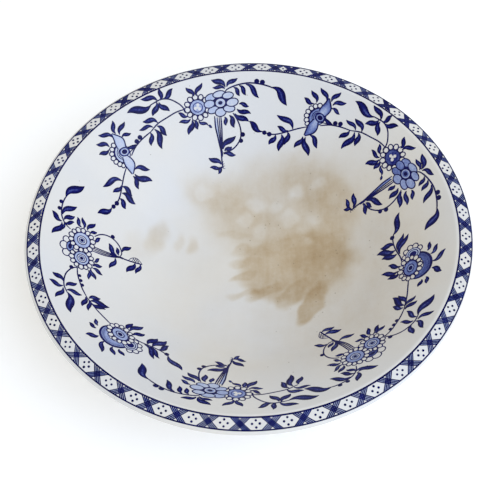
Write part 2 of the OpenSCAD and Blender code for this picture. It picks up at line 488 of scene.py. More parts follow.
def turned(outline, segments, closed):
    """The outline carried round the axis: (x cos a, x sin a, z) for a in equal steps.

    A closed outline gives a ring. An open one starts and ends on the axis, and its two end
    points are single poles with a fan of triangles.
    """
    angle = np.arange(segments) * 2 * np.pi / segments
    body = outline if closed else outline[1:-1]
    rows = len(body)
    points = np.stack([
        body[:, :1] * np.cos(angle), body[:, :1] * np.sin(angle),
        np.broadcast_to(body[:, 1:], (rows, segments))], -1).reshape(-1, 3)
    row = np.arange(rows if closed else rows - 1)[:, None]
    column = np.arange(segments)[None]
    corner = lambda r, c: (r % rows) * segments + c % segments
    quads = np.stack([corner(row, column), corner(row + 1, column),
                      corner(row + 1, column + 1), corner(row, column + 1)], -1).reshape(-1, 4)
    faces = quads.tolist()
    if not closed:
        first, last = rows * segments, rows * segments + 1
        points = np.concatenate([points, [[0, 0, outline[0, 1]], [0, 0, outline[-1, 1]]]])
        turn = np.arange(segments)
        step = (turn + 1) % segments
        faces += np.stack([np.full(segments, first), turn, step], 1).tolist()
        base = (rows - 1) * segments
        faces += np.stack([np.full(segments, last), base + step, base + turn], 1).tolist()
    return points, faces


# ---------------------------------------------------------------------------
# Finishes
# ---------------------------------------------------------------------------

class Wiring:
    """Adds nodes to a tree and joins them, with plain values where nothing is joined."""

    def __init__(self, tree):
        self.tree = tree

    def node(self, kind, inputs=(), **settings):
        made = self.tree.nodes.new(kind)
        for name, value in settings.items():
            setattr(made, name, value)
        for name, value in dict(inputs).items():
            self.feed(made.inputs[name], value)
        return made

    def feed(self, socket, value):
        if isinstance(value, bpy.types.NodeSocket):
            self.tree.links.new(value, socket)
        elif socket.type == "RGBA" and len(value) == 3:
            socket.default_value = (*value, 1)
        else:
            socket.default_value = value

    def math(self, operation, a, b, clamp=False):
        made = self.node("ShaderNodeMath", operation=operation, use_clamp=clamp)
        self.feed(made.inputs[0], a)
        self.feed(made.inputs[1], b)
        return made.outputs[0]

    def blend(self, share, a, b):
        made = self.node("ShaderNodeMix", data_type="RGBA", clamp_factor=True)
        self.feed(made.inputs[0], share)
        self.feed(made.inputs[6], a)
        self.feed(made.inputs[7], b)
        return made.outputs[2]

    def noise(self, place, scale, detail=2.0, rough=0.5, stretch=None):
        if stretch:
            place = self.node("ShaderNodeMapping", {"Vector": place, "Scale": stretch}).outputs[0]
        return self.node("ShaderNodeTexNoise", {
            "Vector": place, "Scale": scale, "Detail": detail, "Roughness": rough}).outputs["Fac"]

    def ramp(self, value, low, high):
        """0 below low and 1 above high, smooth between them."""
        return self.node("ShaderNodeMapRange", {
            "Value": value, "From Min": low, "From Max": high}, interpolation_type="SMOOTHSTEP").outputs[0]

    def place(self):
        return self.node("ShaderNodeTexCoord").outputs["Object"]

    def value(self, name):
        return self.node("ShaderNodeAttribute", attribute_name=name, attribute_type="GEOMETRY").outputs["Fac"]


KINDS = {"colour": "NodeSocketColor", "value": "NodeSocketFloat", "vector": "NodeSocketVector"}


def node_group(name, inputs, outputs):
    """An empty shader group with the named sockets, and its way in and way out."""
    old = bpy.data.node_groups.get(name)
    if old:
        return old, None, None
    tree = bpy.data.node_groups.new(name, "ShaderNodeTree")
    for label, kind, default in inputs:
        made = tree.interface.new_socket(name=label, in_out="INPUT", socket_type=KINDS[kind])
        if kind == "value":
            made.default_value = default
        elif kind == "colour":
            made.default_value = (*default, 1)
    for label, kind in outputs:
        tree.interface.new_socket(name=label, in_out="OUTPUT", socket_type=KINDS[kind])
    way_in = tree.nodes.new("NodeGroupInput")
    way_out = tree.nodes.new("NodeGroupOutput")
    return tree, way_in, way_out


def glaze_group():
    """White glazed body: a slow drift towards the tinge, faint clouds, pinholes and a soft ripple."""
    tree, way_in, way_out = node_group("Fired Glaze", [
        ("Place", "vector", None), ("Clean", "colour", (0.8, 0.8, 0.8)),
        ("Tinge", "colour", (0.7, 0.75, 0.8)),
        ("Dirt", "colour", (0.2, 0.15, 0.1)), ("Pinholes", "value", 0.5),
    ], [("Colour", "colour"), ("Roughness", "value"), ("Height", "value")])
    if way_in is None:
        return tree
    w = Wiring(tree)
    place = way_in.outputs["Place"]
    drift = w.ramp(w.noise(place, 14, 2), 0.35, 0.7)
    clouds = w.ramp(w.noise(place, 60, 4, 0.6), 0.3, 0.8)
    colour = w.blend(w.math("MULTIPLY", drift, 0.55), way_in.outputs["Clean"], way_in.outputs["Tinge"])
    colour = w.blend(w.math("MULTIPLY", clouds, 0.10), colour, (0.62, 0.66, 0.72))
    cells = w.node("ShaderNodeTexVoronoi", {"Vector": place, "Scale": 210, "Randomness": 1})
    hole = w.ramp(cells.outputs["Distance"], 0.11, 0.05)
    rare = w.ramp(w.noise(place, 33, 2), 0.56, 0.62)
    hole = w.math("MULTIPLY", w.math("MULTIPLY", hole, rare), way_in.outputs["Pinholes"])
    colour = w.blend(hole, colour, way_in.outputs["Dirt"])
    rough = w.math("ADD", w.math("MULTIPLY", clouds, 0.05), 0.07)
    rough = w.math("ADD", rough, w.math("MULTIPLY", hole, 0.3))
    ripple = w.math("MULTIPLY", w.noise(place, 95, 2, 0.4), 0.6)
    height = w.math("SUBTRACT", ripple, w.math("MULTIPLY", hole, 0.5))
    w.feed(way_out.inputs["Colour"], colour)
    w.feed(way_out.inputs["Roughness"], rough)
    w.feed(way_out.inputs["Height"], height)
    return tree


def stain_group():
    """Stain soaked under the glaze: blotches and streaks break it up, and specks lie round it.

    Light passes as through a dye: each channel of the stain's colour is raised to twice the amount.
    """
    tree, way_in, way_out = node_group("Soaked Stain", [
        ("Place", "vector", None), ("Base", "colour", (0.8, 0.8, 0.8)), ("Stain", "colour", (0.4, 0.3, 0.2)),
        ("Dirt", "colour", (0.2, 0.15, 0.1)), ("Amount", "value", 0.0),
    ], [("Colour", "colour"), ("Mask", "value")])
    if way_in is None:
        return tree
    w = Wiring(tree)
    place, amount = way_in.outputs["Place"], way_in.outputs["Amount"]
    blotch = w.noise(place, 85, 5, 0.65)
    grain = w.noise(place, 420, 3, 0.6)
    streak = w.noise(place, 60, 4, 0.6, stretch=(5, 0.8, 1))
    broken = w.math("MULTIPLY", amount, w.math("ADD", blotch, 0.5))
    broken = w.math("MULTIPLY", broken, w.math("ADD", w.math("MULTIPLY", streak, 0.4), 0.8))
    broken = w.math("MULTIPLY", broken, w.math("ADD", w.math("MULTIPLY", grain, 0.3), 0.85), clamp=True)
    through = w.node("ShaderNodeGamma", {
        "Color": way_in.outputs["Stain"], "Gamma": w.math("MULTIPLY", broken, 2)})
    colour = w.node("ShaderNodeVectorMath", {0: way_in.outputs["Base"], 1: through.outputs[0]},
                    operation="MULTIPLY").outputs[0]
    near = w.ramp(amount, 0.04, 0.3)
    cells = w.node("ShaderNodeTexVoronoi", {"Vector": place, "Scale": 340, "Randomness": 1})
    specks = w.ramp(cells.outputs["Distance"], 0.2, 0.1)
    some = w.ramp(w.noise(place, 120, 2), 0.56, 0.64)
    specks = w.math("MULTIPLY", w.math("MULTIPLY", specks, some), near)
    colour = w.blend(w.math("MULTIPLY", specks, 0.35), colour, way_in.outputs["Dirt"])
    w.feed(way_out.inputs["Colour"], colour)
    w.feed(way_out.inputs["Mask"], broken)
    return tree


def ink_group():
    """Cobalt ink by strength: none, pale stipple, wash, engraved line and solid, with a grain of dots."""
    tree, way_in, way_out = node_group("Cobalt Ink", [
        ("Place", "vector", None), ("Ground", "colour", (0.8, 0.8, 0.8)), ("Strength", "value", 1.0),
        ("Pale", "colour", (0.6, 0.65, 0.8)), ("Wash", "colour", (0.3, 0.4, 0.7)),
        ("Line", "colour", (0.03, 0.04, 0.3)), ("Dark", "colour", (0.01, 0.01, 0.1)), ("Grain", "value", 0.2),
    ], [("Colour", "colour"), ("Mask", "value")])
    if way_in is None:
        return tree
    w = Wiring(tree)
    place, grain = way_in.outputs["Place"], way_in.outputs["Grain"]
    dots = w.noise(place, 900, 2, 0.6)
    patchy = w.noise(place, 150, 3, 0.6)
    shift = w.math("ADD", w.math("SUBTRACT", dots, 0.5), w.math("SUBTRACT", patchy, 0.5))
    inked = w.ramp(way_in.outputs["Strength"], 0.02, 0.2)
    shift = w.math("MULTIPLY", w.math("MULTIPLY", shift, grain), inked)
    strength = w.math("ADD", way_in.outputs["Strength"], shift, clamp=True)
    share = lambda low, high: w.node("ShaderNodeMapRange", {
        "Value": strength, "From Min": low, "From Max": high}).outputs[0]
    colour = w.blend(share(0.02, 0.3), way_in.outputs["Ground"], way_in.outputs["Pale"])
    colour = w.blend(share(0.3, 0.55), colour, way_in.outputs["Wash"])
    colour = w.blend(share(0.55, 0.8), colour, way_in.outputs["Line"])
    colour = w.blend(share(0.8, 1.0), colour, way_in.outputs["Dark"])
    w.feed(way_out.inputs["Colour"], colour)
    w.feed(way_out.inputs["Mask"], strength)
    return tree


def new_material(name):
    """An empty material with its shader, ready for wiring."""
    old = bpy.data.materials.get(name)
    if old:
        bpy.data.materials.remove(old)
    made = bpy.data.materials.new(name)
    made.use_nodes = True
    made.node_tree.nodes.clear()
    w = Wiring(made.node_tree)
    shader = w.node("ShaderNodeBsdfPrincipled")
    w.node("ShaderNodeOutputMaterial", {"Surface": shader.outputs[0]})
    return made, w, shader


def glazed_colour(w, finish):
    """Colour, roughness and height of the glazed body with its stain, for any glazed material."""
    place = w.place()
    glaze = w.node("ShaderNodeGroup", {
        "Place": place, "Clean": finish.glaze[:], "Tinge": finish.tinge[:], "Dirt": finish.grime[:],
        "Pinholes": 0.5}, node_tree=glaze_group())
    stain = w.node("ShaderNodeGroup", {
        "Place": place, "Base": glaze.outputs["Colour"], "Stain": finish.stain[:],
        "Dirt": finish.grime[:], "Amount": w.value("stain")}, node_tree=stain_group())
    return place, stain.outputs["Colour"], glaze.outputs["Roughness"], glaze.outputs["Height"]


def gloss(w, shader, rough, height):
    """The glass of the glaze: shared roughness and ripple."""
    w.feed(shader.inputs["Roughness"], rough)
    bump = w.node("ShaderNodeBump", {"Height": height, "Strength": 0.25, "Distance": RIPPLE_DEPTH})
    w.feed(shader.inputs["Normal"], bump.outputs[0])
    shader.inputs["IOR"].default_value = 1.5
    shader.inputs["Specular IOR Level"].default_value = 0.12


def glazed_material(finish):
    """White body under clear glaze."""
    made, w, shader = new_material("White glaze")
    _, colour, rough, height = glazed_colour(w, finish)
    w.feed(shader.inputs["Base Color"], colour)
    gloss(w, shader, rough, height)
    return made


def ink_material(name, finish, grain):
    """Cobalt print under the same clear glaze, its strength read from the piece's ink values."""
    made, w, shader = new_material(name)
    place, ground, rough, height = glazed_colour(w, finish)
    ink = w.node("ShaderNodeGroup", {
        "Place": place, "Ground": ground, "Strength": w.value("ink"), "Pale": finish.ink_pale[:],
        "Wash": finish.ink_wash[:], "Line": finish.ink_line[:], "Dark": finish.ink_dark[:],
        "Grain": grain}, node_tree=ink_group())
    w.feed(shader.inputs["Base Color"], ink.outputs["Colour"])
    gloss(w, shader, rough, height)
    return made


def biscuit_material(finish):
    """Unglazed foot: dry, sandy, and dirty where it has stood."""
    made, w, shader = new_material("Bare biscuit")
    place = w.place()
    sand = w.noise(place, 900, 4, 0.7)
    patch = w.noise(place, 45, 3, 0.6)
    worn = w.blend(w.ramp(patch, 0.3, 0.75), finish.biscuit[:], finish.grime[:])
    colour = w.blend(w.math("MULTIPLY", sand, 0.35), finish.biscuit[:], worn)
    w.feed(shader.inputs["Base Color"], colour)
    w.feed(shader.inputs["Roughness"], w.math("ADD", w.math("MULTIPLY", sand, 0.2), 0.72))
    bump = w.node("ShaderNodeBump", {"Height": sand, "Strength": 0.5, "Distance": 0.00025})
    w.feed(shader.inputs["Normal"], bump.outputs[0])
    return made


# ---------------------------------------------------------------------------
# Stain
# ---------------------------------------------------------------------------

# Old stain on the floor, seen from above, in millimetres: x, y, half length, half width, then
# turn in degrees, amount, and softness of the edge. Negative amounts are the pale spots that it left clean.
STAIN_MARKS = [
    # broad faint tint
    (30, -8, 88, 82, 0, 0.06, 0.3),
    (52, -5, 45, 62, 0, 0.1, 0.5),
    # mottled upper part
    (19, 40, 42, 31, -4, 0.16, 0.35),
    (-14, 50, 24, 14, -10, 0.09, 0.5),
    (-24, 52, 13, 8, -12, 0.1, 0.6),
    (-8, 44, 16, 7, -20, 0.06, 0.7),
    (42, 52, 22, 12, -42, 0.16, 0.5),
    (22, 58, 14, 5, -8, 0.08, 0.6),
    (55, 34, 9, 18, 8, 0.12, 0.6),
    (12, 31, 19, 9, 0, 0.14, 0.5),
    # dense part
    (26, 1, 33, 24, 10, 0.28, 0.14),
    (24, 0, 26, 19, 10, 0.13, 0.4),
    (44, 2, 17, 25, -8, 0.18, 0.4),
    (49, 15, 10, 9, 0, 0.14, 0.5),
    # its pointed edge
    (36, -27, 6.5, 16, -28, 0.4, 0.2),
    (24, -18, 5, 13, -42, 0.26, 0.25),
    (9, -15, 13, 4, 24, 0.24, 0.25),
    (-2, -16, 10, 2.2, 12, 0.18, 0.4),
    (-3, -3, 9, 3, 24, 0.2, 0.3),
    (-5, 6, 8, 3, 6, 0.16, 0.35),
    (-4, 15, 7, 4, 20, 0.16, 0.35),
    (-9, 27, 9, 3, -8, 0.1, 0.5),
    (60, 2, 7, 6, 0, 0.16, 0.5),
    # by itself to the left
    (-55, 22, 5, 11, -20, 0.17, 0.5),
    (-43, 20, 2.5, 6, -10, 0.09, 0.6),
    (-34, 19, 3.5, 6, -10, 0.14, 0.6),
    (-67, 12, 7, 8, 0, 0.06, 0.7),
    # pale spots
    (31, 52, 5.5, 5, 0, -0.17, 0.4),
    (44, 54, 4, 4, 0, -0.12, 0.4),
    (6, 46, 6, 5, 0, -0.1, 0.5),
    (25, 36, 5.5, 5, 0, -0.14, 0.45),
    (42, 33, 5, 5, 0, -0.12, 0.5),
    (-26, 54, 5, 4.5, 0, -0.08, 0.4),
    (37, 18, 3, 2.5, 0, -0.14, 0.5),
    (8, 28, 5, 4, 0, -0.1, 0.4),
    (-2, 37, 4.5, 4, 0, -0.1, 0.4),
    (18, 44, 4, 3.5, 0, -0.08, 0.5),
    (52, 42, 4, 4, 0, -0.1, 0.4),
]


def stain_amount(points, shape):
    """Stain at points in metres: soft ellipses laid over each other, their outlines shaken by waves.

    Each ellipse counts fully well inside its outline and fades over its softness. Marks add up as
    one minus the product of what each leaves clean, and the pale spots are then taken off. Only
    the upper side is stained: points more than 2 mm under it stay clean.
    """
    x, y = points[:, 0] / MM, points[:, 1] / MM
    wave_x = 0.9 * np.sin(x / 5.1 + 1.3 * np.sin(y / 7.3)) + 0.7 * np.sin(y / 2.3 + x / 3.7)
    wave_y = 0.9 * np.sin(y / 4.7 + 1.5 * np.sin(x / 8.1) + 2) + 0.7 * np.sin(x / 2.1 - y / 3.1)
    marks = np.array(STAIN_MARKS, float).T[:, :, None]
    turn = np.radians(marks[4])
    dx, dy = x + wave_x - marks[0], y + wave_y - marks[1]
    along = (dx * np.cos(turn) + dy * np.sin(turn)) / marks[2]
    across = (dy * np.cos(turn) - dx * np.sin(turn)) / marks[3]
    inside = np.clip((1 + marks[6] - np.hypot(along, across)) / (2 * marks[6]), 0, 1)
    inside = inside * inside * (3 - 2 * inside)
    added = np.clip(inside * marks[5], 0, 1)
    total = 1 - np.prod(1 - added, axis=0) + np.clip(inside * marks[5], -1, 0).sum(0)
    outline = rounded(upper_corners(shape, 1))
    above = np.interp(np.hypot(points[:, 0], points[:, 1]), outline[:, 0], outline[:, 1])
    upper_side = points[:, 2] > above - STAIN_DEPTH
    return np.clip(total, 0, 1) * upper_side


# ---------------------------------------------------------------------------
# Pieces
# ---------------------------------------------------------------------------

class BOWL_OT_glazed_body(bpy.types.Operator):
    """Turn the glazed body of the bowl"""
    bl_idname = "bowl.glazed_body"
    bl_label = "Glazed Body"

    def execute(self, context):
        shape, finish = context.scene.bowl_shape, context.scene.bowl_finish
        points, faces = turned(body_outline(shape), shape.segments, False)
        piece = new_piece("glazed_bowl", points, faces, glazed_material(finish),
                          ["bowl_body", "glaze_coat"])
        set_values(piece, "stain", stain_amount(points, shape))
        return {"FINISHED"}


class BOWL_OT_bare_foot(bpy.types.Operator):
    """Turn the unglazed resting ring under the foot"""
    bl_idname = "bowl.bare_foot"
    bl_label = "Bare Foot"

    def execute(self, context):
        shape, finish = context.scene.bowl_shape, context.scene.bowl_finish
        inner, outer = foot_sides(shape)
        skin, top = shape.glaze_thickness, shape.bare_height + 0.9 * MM
        ring = [
            (outer(0) - skin, 0, 1 * MM, 6),
            (inner(0) + skin, 0, 1 * MM, 6),
            (inner(top) + skin, top, 0, 0),
            (outer(top) - skin, top, 0, 0),
        ]
        outline = divided(rounded([ring[-1]] + ring + [ring[0]]), 0.9 * MM)
        points, faces = turned(outline, shape.segments, True)
        new_piece("bare_foot", points, faces, biscuit_material(finish), ["foot_ring"])
        return {"FINISHED"}


# ---------------------------------------------------------------------------
# Print: flat shapes, laid on the bowl as thin tiles of ink
# ---------------------------------------------------------------------------

class Sheet:
    """Flat shapes drawn in millimetres, kept as blocks of equal grids until they are laid.

    A block holds u, v and ink as arrays of (shapes, steps along, steps across), its layer, and
    whether its first side closes on itself.
    """

    def __init__(self):
        self.blocks = []

    def add(self, u, v, ink, layer, closed=False):
        u, v = np.broadcast_arrays(np.asarray(u, float), np.asarray(v, float))
        ink = np.broadcast_to(np.asarray(ink, float), u.shape)
        # keep every grid the same way up: twice its area is the sum of its edge cross products
        du = np.diff(u, axis=1)[:, :, :-1]
        dv = np.diff(v, axis=1)[:, :, :-1]
        eu = np.diff(u, axis=2)[:, :-1]
        ev = np.diff(v, axis=2)[:, :-1]
        over = (du * ev - dv * eu).sum((1, 2)) < 0
        flip = over[:, None, None]
        u, v, ink = (np.where(flip, a[:, :, ::-1], a) for a in (u, v, ink))
        self.blocks.append((u, v, ink, layer, closed))

    def leaves(self, table, layer, edge=1.0, middle=0.7, along=15, across=7):
        """Pointed leaves: the half width swells as a sine to a power, and the midrib bows and hooks.

        The bow is 4 t (1 - t) and the hook a whole sine wave, t running from base to tip.
        """
        a = np.array(table, float).T[:, :, None, None]
        t = np.linspace(0, 1, along)[None, :, None]
        side = np.linspace(-1, 1, across)[None, None]
        du, dv = a[2] - a[0], a[3] - a[1]
        size = np.hypot(du, dv)
        nu, nv = -dv / size, du / size
        hook = np.where(a[5] < 0, -0.065, 0.065)
        bow = size * (a[5] * 4 * t * (1 - t) + hook * np.sin(2 * np.pi * t))
        lean = a[5] * 4 * (1 - 2 * t) + hook * 2 * np.pi * np.cos(2 * np.pi * t)
        half = 0.47 * a[4] * np.sin(np.pi * t ** 1.08) + 0.12 + 0.12 * (1 - t)
        across_u = nu - lean * du / size
        across_v = nv - lean * dv / size
        scale = half * side / np.hypot(across_u, across_v)
        u = a[0] + du * t + nu * bow + across_u * scale
        v = a[1] + dv * t + nv * bow + across_v * scale
        streak = np.clip(1.1 - 2 * np.abs(side + 0.1), 0, 1) * np.sin(np.pi * t ** 0.8) ** 0.7
        self.add(u, v, edge + (middle - edge) * streak + 0 * u, layer)

    def line(self, width, points, layer, ink=0.94, step=0.9, ends=0.7):
        """A ribbon on a smooth curve through the points, narrower towards its two ends."""
        u, v = smooth_path(np.array(points, float), step)
        du, dv = np.gradient(u), np.gradient(v)
        size = np.hypot(du, dv)
        t = np.linspace(0, 1, len(u))
        half = 0.5 * width * (ends + (1 - ends) * np.minimum(1, 6 * np.minimum(t, 1 - t)))
        side = np.array([-1.0, 0, 1])
        shift = (half / size)[:, None] * side
        self.add((u[:, None] - dv[:, None] * shift)[None], (v[:, None] + du[:, None] * shift)[None],
                 ink, layer)

    def ovals(self, table, layer, ink, cells):
        """Filled ovals (u, v, half length, half width, turn): a square grid pushed out to a round one.

        Each grid point (a, b) goes to (a sqrt(1 - b b / 2), b sqrt(1 - a a / 2)).
        """
        o = np.array(table, float).T[:, :, None, None]
        g = np.linspace(-1, 1, cells + 1)
        a, b = g[None, :, None], g[None, None]
        x = a * np.sqrt(1 - b * b / 2) * o[2]
        y = b * np.sqrt(1 - a * a / 2) * o[3]
        c, s = np.cos(np.radians(o[4])), np.sin(np.radians(o[4]))
        self.add(o[0] + x * c - y * s, o[1] + x * s + y * c, ink, layer)

    def discs(self, table, layer, ink, cells=4):
        """Filled round spots (u, v, radius)."""
        t = np.array(table, float)
        self.ovals(np.stack([t[:, 0], t[:, 1], t[:, 2], t[:, 2], 0 * t[:, 0]], 1), layer, ink, cells)


def smooth_path(points, step):
    """Cubic spans through the points. Each inner slope is half the step between its neighbours."""
    if len(points) == 2:
        count = max(2, int(np.linalg.norm(points[1] - points[0]) / step) + 1)
        t = np.linspace(0, 1, count)[:, None]
        return (points[0] + (points[1] - points[0]) * t).T
    middle = (points[2:] - points[:-2]) / 2
    ahead = np.concatenate([points[1:2] - points[:1], middle, points[-1:] - points[-2:-1]])
    spans = []
    for p, q, m, n in zip(points[:-1], points[1:], ahead[:-1], ahead[1:]):
        count = max(2, int(np.linalg.norm(q - p) / step) + 1)
        t = np.linspace(0, 1, count + 1)[:-1, None]
        spans.append((2 * t ** 3 - 3 * t ** 2 + 1) * p + (t ** 3 - 2 * t ** 2 + t) * m
                     + (3 * t ** 2 - 2 * t ** 3) * q + (t ** 3 - t ** 2) * n)
    return np.concatenate(spans + [points[-1:]]).T


def around(u, v, radius_u, radius_v, count, size, start=0.0, turn=0.0, wobble=0.0):
    """Ovals for petals, evenly spaced round an oval, each with its long side pointing outwards."""
    a = np.radians(start) + np.arange(count) * 2 * np.pi / count
    x, y = radius_u * np.cos(a), radius_v * np.sin(a)
    c, s = math.cos(math.radians(turn)), math.sin(math.radians(turn))
    swell = size * (1 + wobble * np.sin(np.arange(count) * 2.4))
    return np.stack([u + x * c - y * s, v + x * s + y * c, 1.12 * swell, swell, np.degrees(a) + turn], 1)


def upper_profile(shape):
    """Distance down the wall from the middle of the crest's rounding, with radius, height and normal.

    Distances are negative out on the rim band. The normal is the outline's heading turned up.
    """
    outline = divided(rounded(upper_corners(shape, 6)), 0.1 * MM)
    run = np.concatenate([[0], np.cumsum(np.linalg.norm(np.diff(outline, axis=0), axis=1))])
    crest = rim_corners(shape)[0]
    middle = np.argmin(np.hypot(outline[:, 0] - crest[0], outline[:, 1] - crest[1]))
    heading = np.gradient(outline, run, axis=0)
    down = run[middle] - run
    return down[::-1], outline[::-1], heading[::-1]


def on_bowl(profile, azimuth, down, lift):
    """Points on the upper side at an azimuth and a distance down from the crest, raised along the normal."""
    where, outline, heading = profile
    radius, height = (np.interp(down, where, outline[:, i]) for i in (0, 1))
    run, rise = (np.interp(down, where, heading[:, i]) for i in (0, 1))
    size = np.hypot(run, rise)
    radius, height = radius - lift * rise / size, height + lift * run / size
    return np.stack([radius * np.cos(azimuth), radius * np.sin(azimuth), height], -1)


def rolled(shape, u, v, azimuth, down, turn):
    """A flat sheet in millimetres rolled on to the wall's cone.

    The sheet is turned about its own zero, read as polar coordinates about the cone's tip, and
    rolled out: the angle grows by the ratio of the cone's slant to its radius.
    """
    slant = CONE_RADIUS / math.cos(shape.wall_slope)
    a = math.radians(turn)
    x = MM * (-u * math.cos(a) + v * math.sin(a))
    y = MM * (-u * math.sin(a) - v * math.cos(a))
    from_tip = np.hypot(x, slant - y)
    return (math.radians(azimuth) + np.arctan2(x, slant - y) * slant / CONE_RADIUS,
            down * MM + slant - from_tip)


def tile_faces(along, across, closed):
    """Faces of one tile: its top grid, its underside, and the walls round its border."""
    top = np.arange(along * across).reshape(along, across)
    if closed:
        top = np.concatenate([top, top[:1]])
    low = top + along * across
    grid = lambda g: np.stack([g[:-1, :-1], g[1:, :-1], g[1:, 1:], g[:-1, 1:]], -1).reshape(-1, 4)
    faces = [grid(top), grid(low)[:, ::-1]]
    if closed:
        for end in (0, -1):
            edge_top, edge_low = top[:, end], low[:, end]
            wall = np.stack([edge_top[:-1], edge_low[:-1], edge_low[1:], edge_top[1:]], 1)
            faces.append(wall if end == 0 else wall[:, ::-1])
    else:
        around_top = np.concatenate([top[:-1, 0], top[-1, :-1], top[:0:-1, -1], top[0, :0:-1]])
        around_low = around_top + along * across
        step = lambda g: np.roll(g, -1)
        faces.append(np.stack([around_top, around_low, step(around_low), step(around_top)], 1))
    return np.concatenate(faces)


def lay(name, sheet, rolling, shape, prints, finish, nodes):
    """Every shape on a sheet as a closed tile of ink on the bowl, as one piece."""
    profile = upper_profile(shape)
    points, inks, faces, used = [], [], [], 0
    for u, v, ink, layer, closed in sheet.blocks:
        count, along, across = u.shape
        azimuth, down = rolling(u, v)
        top = on_bowl(profile, azimuth, down, prints.ink_lift + layer * prints.layer_step)
        low = on_bowl(profile, azimuth, down, -prints.ink_depth)
        both = np.stack([top, low], 1).reshape(-1, 3)
        tile = tile_faces(along, across, closed)
        start = used + np.arange(count)[:, None, None] * 2 * along * across
        points.append(both)
        inks.append(np.stack([ink, ink], 1).reshape(-1))
        faces.append((tile[None] + start).reshape(-1, 4))
        used += len(both)
    points = np.concatenate(points)
    piece = new_piece(name, points, np.concatenate(faces).tolist(), finish, nodes,
                      flat_angle=math.radians(50))
    set_values(piece, "ink", np.concatenate(inks))
    set_values(piece, "stain", stain_amount(points, shape))
    return piece


# ---------------------------------------------------------------------------
# The two sheets of artwork
# ---------------------------------------------------------------------------

def petals(flowers, table, layer, tone=0.04, line=0.7):
    """Pale ovals (u, v, half length, half width, turn) over dark ones, so that neighbours share a line."""
    t = np.array(table, float)
    edge = np.array([0, 0, line / 2, line / 2, 0])
    flowers.ovals(t + edge, layer, 0.94, 7)
    flowers.ovals(t - edge, layer + 0.5, tone, 7)


def eye(flowers, u, v, rings, layer, stretch=1.0, turn=0.0):
    """Rings from the outside in, each (radius, ink): an oval for every ring, laid on the one before."""
    for k, (radius, ink) in enumerate(rings):
        flowers.ovals([(u, v, radius * stretch, radius, turn)], layer + 0.5 * k, ink, 9)


def arc(lines, u, v, radius, start, end, width, layer):
    """A line along part of a circle, from a start angle to an end angle in degrees."""
    a = np.radians(np.linspace(start, end, max(4, int(abs(end - start) / 12))))
    lines.line(width, np.stack([u + radius * np.cos(a), v + radius * np.sin(a)], 1), layer, 0.94, 0.8, 0.8)


def flower_sheet(with_bird):
    """A daisy and an oval flower with stems and leaves, and a bird at the end of the long stem."""
    leaves, flowers, lines = Sheet(), Sheet(), Sheet()
    leaves.leaves(FLOWER_LEAVES, 4)
    for width, points in FLOWER_STEMS:
        lines.line(width, points, 3)
    lines.discs(FLOWER_BERRIES, 4, 0.97)
    flowers.add([[[7.8, 9.4], [6.8, 8.2], [6.4, 6.9]]], [[[-9, -9], [-17, -17], [-27, -27]]], 0.3, 1)

    # daisy
    petals(flowers, around(-0.4, 0.3, 6.7, 6.6, 12, 1.58, wobble=0.08), 0)
    eye(flowers, -0.4, 0.3, [(5.2, 0.94), (4.5, 0.4), (3.2, 0.74), (2.6, 0.42)], 2)
    lines.discs([(0, 1.8, 1), (-2, 0.1, 1), (0.4, -0.8, 1), (-0.5, 0.3, 0.9)], 5, 0.05)

    # oval flower, each petal over the one before
    flowers.ovals([(13.8, -0.6, 7.8, 5.8, 0)], 2, 0.94, 9)
    tinted = [(8.7, 4.2, 3.4, 2.3, 10), (8.3, -3.6, 3.4, 2.1, 10), (7, 0.5, 3.3, 2.4, 0),
              (14.2, 5, 3.8, 2.1, 0), (12.4, -6.1, 3.3, 2.6, 0), (19.3, 2.9, 3.4, 2.1, -5),
              (18, -5.2, 3.5, 2.2, -15), (20.8, -1.9, 3.7, 2.5, 0)]
    for k, petal in enumerate(tinted):
        petals(flowers, [petal], 3 + k, 0.3 if k < 3 else 0.24)
    eye(flowers, 13.7, -0.4, [(3.2, 0.94), (2.5, 0.2), (2, 0.36), (1.2, 0.98)], 11, 1.15)

    if with_bird:
        leaves.leaves(BIRD_LEAVES, 4)
        for width, points in BIRD_STEMS:
            lines.line(width, points, 3)
        lines.discs(BIRD_BERRIES, 4, 0.97)
        # half daisy behind the bird's head
        petals(flowers, [(-57.5, -10.3, 1.5, 1.4, 120), (-59.2, -12.5, 1.5, 1.4, 150),
                         (-60.1, -15.2, 1.5, 1.4, 180), (-60, -18, 1.5, 1.4, 190),
                         (-58.9, -20.4, 1.5, 1.4, 215), (-57, -22.3, 1.5, 1.4, 235),
                         (-55, -23.6, 1.4, 1.2, 250)], 0)
        flowers.ovals([(-53.6, -16.2, 5.3, 6.1, 0)], 1, 0.94, 9)
        flowers.ovals([(-53.4, -16.2, 4.5, 5.5, 0)], 1.5, 0.28, 9)
        for radius in (2.9, 3.9):
            arc(lines, -52.9, -16.1, radius, 100, 262, 0.5, 3)
        # wings: an outline between a leading and a trailing edge, shaded towards the tip
        wing(flowers, lines, [(-55.6, -12.8), (-56.2, -10), (-56.3, -7), (-56.9, -3.2)],
             [(-50.5, -13), (-50.1, -10.5), (-51, -6.8), (-56.5, -3)])
        wing(flowers, lines, [(-54.1, -18.5), (-54, -23), (-52.7, -26.5), (-51.1, -30)],
             [(-50.9, -18), (-48.4, -21.3), (-47.9, -25), (-50.4, -30)])
        # body, head and beak
        eye(flowers, -51.9, -15.5, [(2.9, 0.95), (2.3, 0.62), (1.9, 0.25), (1.5, 0.96)], 6, 1.2, 8)
        leaves.leaves([(-49.6, -15, -43.3, -13.1, 2.2, 0.03)], 5)
    return leaves, flowers, lines


